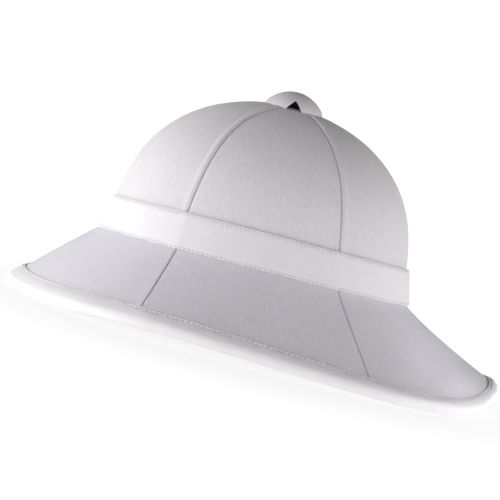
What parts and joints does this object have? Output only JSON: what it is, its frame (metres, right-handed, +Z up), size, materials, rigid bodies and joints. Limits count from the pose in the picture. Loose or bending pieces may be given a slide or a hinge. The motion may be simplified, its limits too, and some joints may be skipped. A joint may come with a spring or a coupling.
{
  "type": "pith helmet",
  "caption": "Rigid sun helmet: a domed crown in sewn white cotton gores, a cloth band, a sloping brim with a bound rim, and a small domed vent cap at the top.",
  "frame": {"origin": "centre of the bounding box's footprint, on the plane that the rim rests on", "axes": "+Z up, -Y to the front of the helmet, +X to the wearer's left"},
  "size_m": [0.2622, 0.3376, 0.1728],
  "materials": {
    "cotton": "matt white cotton drill",
    "pith": "pressed plant pith, pale and matt",
    "vent_metal": "blackened"
  },
  "bodies": {
    "root": {"pith_shell": "pith", "crown_panel_front_left": "cotton", "crown_panel_left": "cotton", "crown_panel_rear_left": "cotton", "crown_panel_rear_right": "cotton", "crown_panel_right": "cotton", "crown_panel_front_right": "cotton", "brim_panel_front": "cotton", "brim_panel_left": "cotton", "brim_panel_rear": "cotton", "brim_panel_right": "cotton", "hat_band": "cotton", "rim_binding": "cotton", "vent_collar": "vent_metal", "vent_cap": "cotton"}
  },
  "joints": []
}
